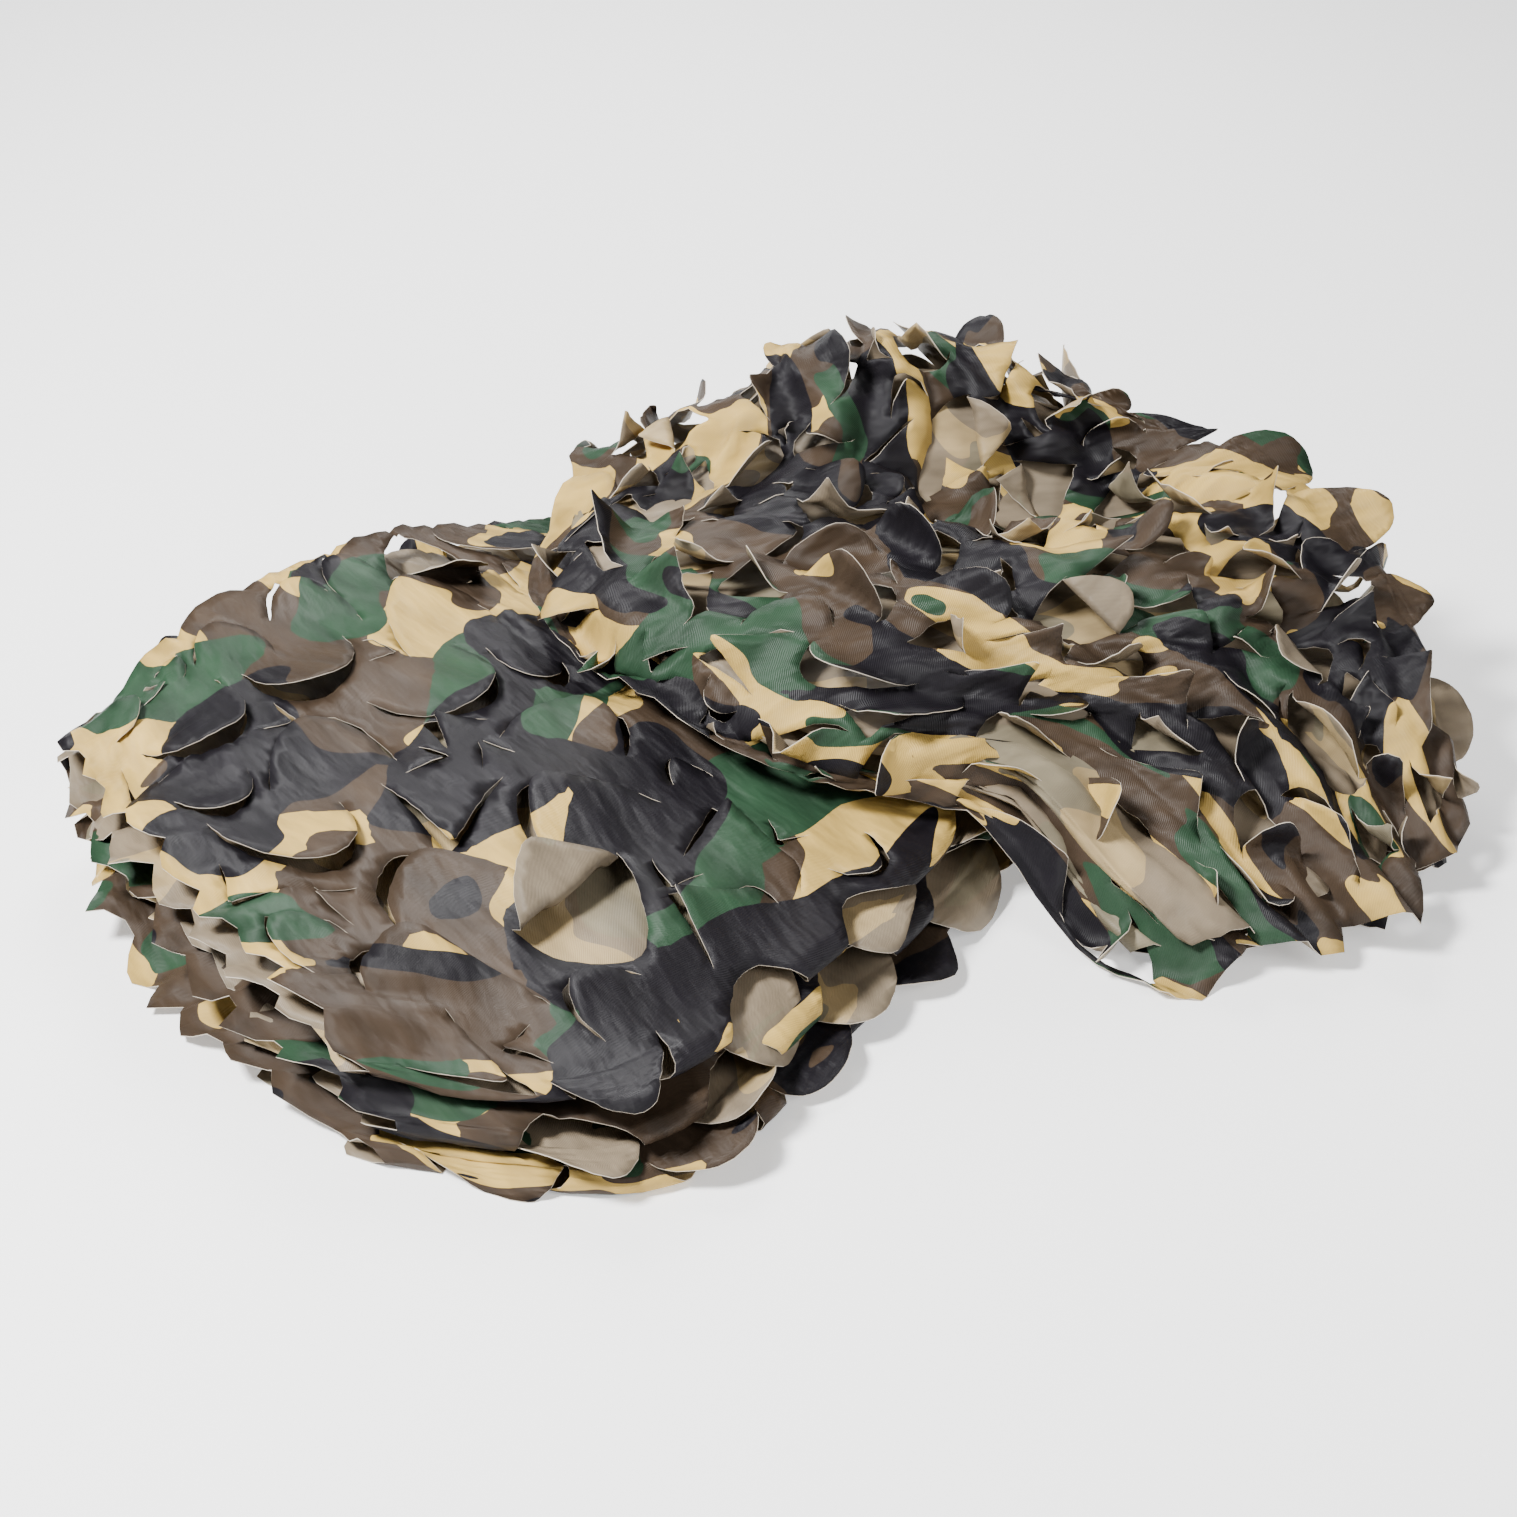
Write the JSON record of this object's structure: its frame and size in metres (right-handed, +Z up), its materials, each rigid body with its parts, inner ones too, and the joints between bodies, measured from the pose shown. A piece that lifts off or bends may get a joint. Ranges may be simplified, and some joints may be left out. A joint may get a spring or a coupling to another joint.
{
  "type": "camouflage net",
  "caption": "Woodland-printed leaf-cut camouflage net, folded back and forth and lying in a loose pile turned over on itself.",
  "frame": {"origin": "on the surface the pile lies on, under the middle of its bounding box", "axes": "+X to the right and +Y away from the viewer of the flat left lobe and the right leg that lies over it, +Z up"},
  "size_m": [0.8914, 0.6898, 0.2445],
  "materials": {
    "net_cloth": "thin printed polyester, brown, green, black and sand patches, satin sheen, paler back"
  },
  "bodies": {
    "root": {"camouflage_net": "net_cloth"}
  },
  "joints": []
}
